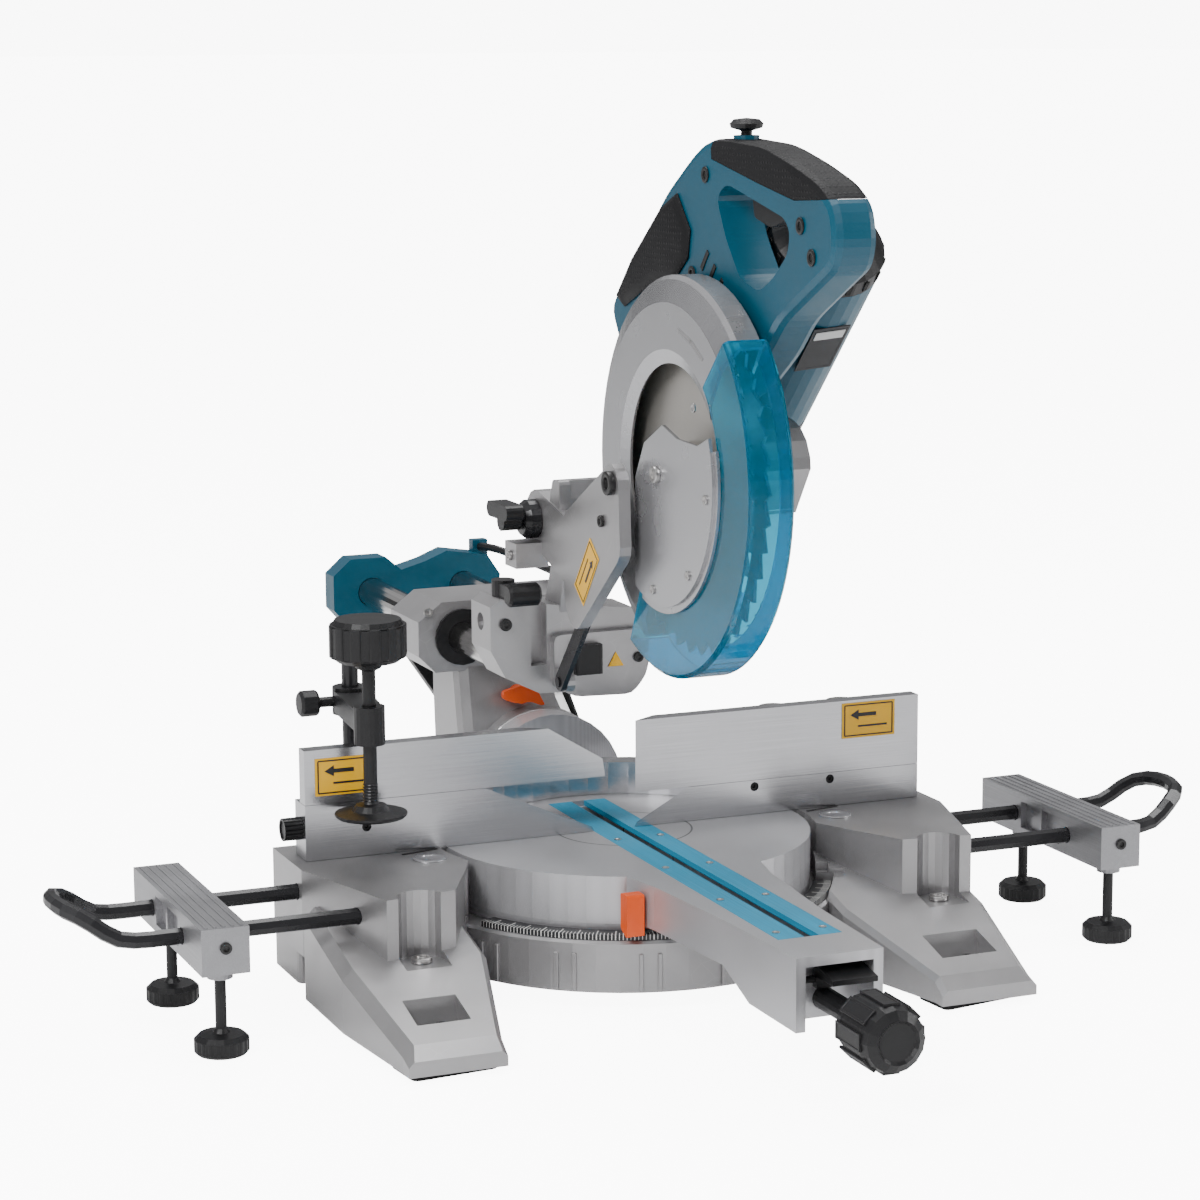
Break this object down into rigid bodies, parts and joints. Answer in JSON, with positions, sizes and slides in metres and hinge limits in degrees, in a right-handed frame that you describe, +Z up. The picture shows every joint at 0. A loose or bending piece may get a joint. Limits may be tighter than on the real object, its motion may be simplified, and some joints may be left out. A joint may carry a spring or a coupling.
{
  "type": "sliding compound mitre saw",
  "caption": "Sliding compound mitre saw on a cast base with turning table, tilting neck, two slide poles, spring-raised head, guarded blade and pull-out workpiece holders.",
  "frame": {"origin": "on the axis of the mitre pivot, at the height of the bench", "axes": "+Z up, the saw's front and its grip towards -Y, the blade in the plane X = 0"},
  "size_m": [0.912, 0.9, 0.633],
  "materials": {
    "casting": "silver-grey paint, satin",
    "machined": "milled, satin",
    "steel": "ground and polished",
    "blade_steel": "ground in rings",
    "teal": "fine texture",
    "cyan": "satin",
    "guard": "glossy, slightly see-through",
    "orange": "satin",
    "black": "satin",
    "black_steel": "black coated",
    "soft": "soft grip, matt",
    "rubber": "matt"
  },
  "bodies": {
    "base": {"base_casting": "casting", "guide_fence": "machined", "mitre_scale": "black", "foot_pad_front_left": "rubber", "foot_pad_front_right": "rubber", "vise_rod": "black_steel"},
    "turntable": {"turntable": "machined", "kerf_board_left": "cyan", "kerf_board_right": "cyan", "mitre_pointer": "orange"},
    "lock_lever": {"lock_lever": "black"},
    "mitre_grip": {"mitre_grip": "black"},
    "left_sub_fence": {"left_sub_fence": "machined"},
    "right_sub_fence": {"right_sub_fence": "machined"},
    "fence_knob_1": {"fence_knob_1": "casting"},
    "fence_knob_2": {"fence_knob_2": "casting"},
    "left_holder": {"left_holder_rods": "black_steel", "left_holder_block": "machined"},
    "right_holder": {"right_holder_rods": "black_steel", "right_holder_block": "machined"},
    "left_front_foot": {"left_front_foot": "black"},
    "left_rear_foot": {"left_rear_foot": "black"},
    "right_front_foot": {"right_front_foot": "black"},
    "right_rear_foot": {"right_rear_foot": "black"},
    "vise_arm": {"vise_arm": "black"},
    "vise_spindle": {"vise_spindle": "black"},
    "bevel_arm": {"bevel_arm": "casting", "pole_bush_left": "black", "pole_bush_right": "black", "neck_lead": "black"},
    "bevel_lock_lever": {"bevel_lock_lever": "black"},
    "bevel_latch_lever": {"bevel_latch_lever": "orange"},
    "carriage": {"carriage_casting": "casting", "slide_pole_left": "steel", "slide_pole_right": "steel", "rear_pole_holder": "teal", "hinge_shaft": "black_steel", "laser_unit": "black", "pole_lead": "black"},
    "stopper_arm": {"stopper_arm": "black"},
    "stopper_pin": {"stopper_pin": "black"},
    "guard_link": {"guard_link": "black_steel"},
    "head": {"head_arm": "casting", "blade_case": "casting", "gear_housing": "casting", "motor_housing": "teal", "motor_end_cap": "black", "handle_shell": "teal", "handle_grip_pad": "soft"},
    "trigger": {"trigger": "black"},
    "lock_off_button": {"lock_off_button": "black"},
    "blade": {"blade": "blade_steel", "arbor_shaft": "steel"},
    "guard": {"blade_guard": "guard", "centre_cover": "casting"}
  },
  "joints": [
    {"name": "mitre_turn", "type": "hinge", "parent": "base", "child": "turntable", "pos_m": [0, 0, 0.095], "axis": [0, 0, -1], "range_deg": [-45, 45]},
    {"name": "lock_lever_press", "type": "hinge", "parent": "turntable", "child": "lock_lever", "pos_m": [0, -0.349, 0.074], "axis": [-1, 0, 0], "range_deg": [0, 7], "stiffness_Nm_per_rad": 0.6, "springref_deg": -11.46},
    {"name": "mitre_grip_turn", "type": "hinge", "parent": "turntable", "child": "mitre_grip", "pos_m": [0, -0.4, 0.058], "axis": [0, -1, 0], "continuous": true},
    {"name": "bevel_tilt", "type": "hinge", "parent": "turntable", "child": "bevel_arm", "pos_m": [0, 0.168, 0.095], "axis": [0, -1, 0], "range_deg": [0, 30]},
    {"name": "bevel_lock_turn", "type": "hinge", "parent": "bevel_arm", "child": "bevel_lock_lever", "pos_m": [0, 0.27, 0.095], "axis": [0, 1, 0], "range_deg": [-20, 0]},
    {"name": "bevel_latch_turn", "type": "hinge", "parent": "bevel_arm", "child": "bevel_latch_lever", "pos_m": [-0.014, 0.1895, 0.166], "axis": [0, 1, 0], "range_deg": [-12, 0]},
    {"name": "carriage_slide", "type": "slide", "parent": "bevel_arm", "child": "carriage", "axis": [0, 1, 0], "range_m": [-0.134, 0.075]},
    {"name": "stopper_arm_swing", "type": "hinge", "parent": "carriage", "child": "stopper_arm", "pos_m": [-0.064, 0.084, 0.272], "axis": [0, 0, 1], "range_deg": [-20, 0]},
    {"name": "stopper_pin_pull", "type": "slide", "parent": "carriage", "child": "stopper_pin", "axis": [-1, 0, 0], "range_m": [0, 0.008], "stiffness_N_per_m": 400, "springref_m": -0.002},
    {"name": "head_chop", "type": "hinge", "parent": "carriage", "child": "head", "pos_m": [0, 0.062, 0.328], "axis": [-1, 0, 0], "range_deg": [-54, 0], "stiffness_Nm_per_rad": 4, "springref_deg": 97.4},
    {"name": "guard_turn", "type": "hinge", "parent": "head", "child": "guard", "pos_m": [0, -0.127, 0.384], "axis": [-1, 0, 0], "range_deg": [0, 141]},
    {"name": "guard_link_swing", "type": "hinge", "parent": "carriage", "child": "guard_link", "pos_m": [-0.032, 0.045, 0.203], "axis": [1, 0, 0], "range_deg": [0, 63]},
    {"name": "blade_spin", "type": "hinge", "parent": "head", "child": "blade", "pos_m": [0, -0.127, 0.384], "axis": [1, 0, 0], "continuous": true},
    {"name": "trigger_pull", "type": "hinge", "parent": "head", "child": "trigger", "pos_m": [0.03, -0.178, 0.58], "axis": [-1, 0, 0], "range_deg": [0, 6], "stiffness_Nm_per_rad": 0.5, "springref_deg": -8.59},
    {"name": "lock_off_press", "type": "slide", "parent": "head", "child": "lock_off_button", "axis": [0, 0, -1], "range_m": [0, 0.0025], "stiffness_N_per_m": 600, "springref_m": -0.001},
    {"name": "left_fence_slide", "type": "slide", "parent": "base", "child": "left_sub_fence", "axis": [-1, 0, 0], "range_m": [0, 0.07]},
    {"name": "right_fence_slide", "type": "slide", "parent": "base", "child": "right_sub_fence", "axis": [1, 0, 0], "range_m": [0, 0.06]},
    {"name": "fence_knob_1_turn", "type": "hinge", "parent": "right_sub_fence", "child": "fence_knob_1", "pos_m": [0.14, 0.029, 0.15], "axis": [0, 0, 1], "continuous": true},
    {"name": "fence_knob_2_turn", "type": "hinge", "parent": "right_sub_fence", "child": "fence_knob_2", "pos_m": [0.199, 0.029, 0.15], "axis": [0, 0, 1], "continuous": true},
    {"name": "left_holder_slide", "type": "slide", "parent": "base", "child": "left_holder", "axis": [-1, 0, 0], "range_m": [-0.012, 0.04]},
    {"name": "right_holder_slide", "type": "slide", "parent": "base", "child": "right_holder", "axis": [1, 0, 0], "range_m": [-0.012, 0.04]},
    {"name": "left_front_foot_set", "type": "slide", "parent": "left_holder", "child": "left_front_foot", "axis": [0, 0, 1], "range_m": [0, 0.012]},
    {"name": "left_rear_foot_set", "type": "slide", "parent": "left_holder", "child": "left_rear_foot", "axis": [0, 0, 1], "range_m": [0, 0.012]},
    {"name": "right_front_foot_set", "type": "slide", "parent": "right_holder", "child": "right_front_foot", "axis": [0, 0, 1], "range_m": [0, 0.012]},
    {"name": "right_rear_foot_set", "type": "slide", "parent": "right_holder", "child": "right_rear_foot", "axis": [0, 0, 1], "range_m": [0, 0.012]},
    {"name": "vise_arm_set", "type": "slide", "parent": "base", "child": "vise_arm", "axis": [0, 0, -1], "range_m": [-0.015, 0.012]},
    {"name": "vise_spindle_screw", "type": "slide", "parent": "vise_arm", "child": "vise_spindle", "axis": [0, 0, -1], "range_m": [-0.03, 0.022]}
  ],
  "couplings": [
    {"joint": "guard_turn", "follows": "head_chop", "ratio": -2.6},
    {"joint": "guard_link_swing", "follows": "head_chop", "ratio": -1.163}
  ]
}
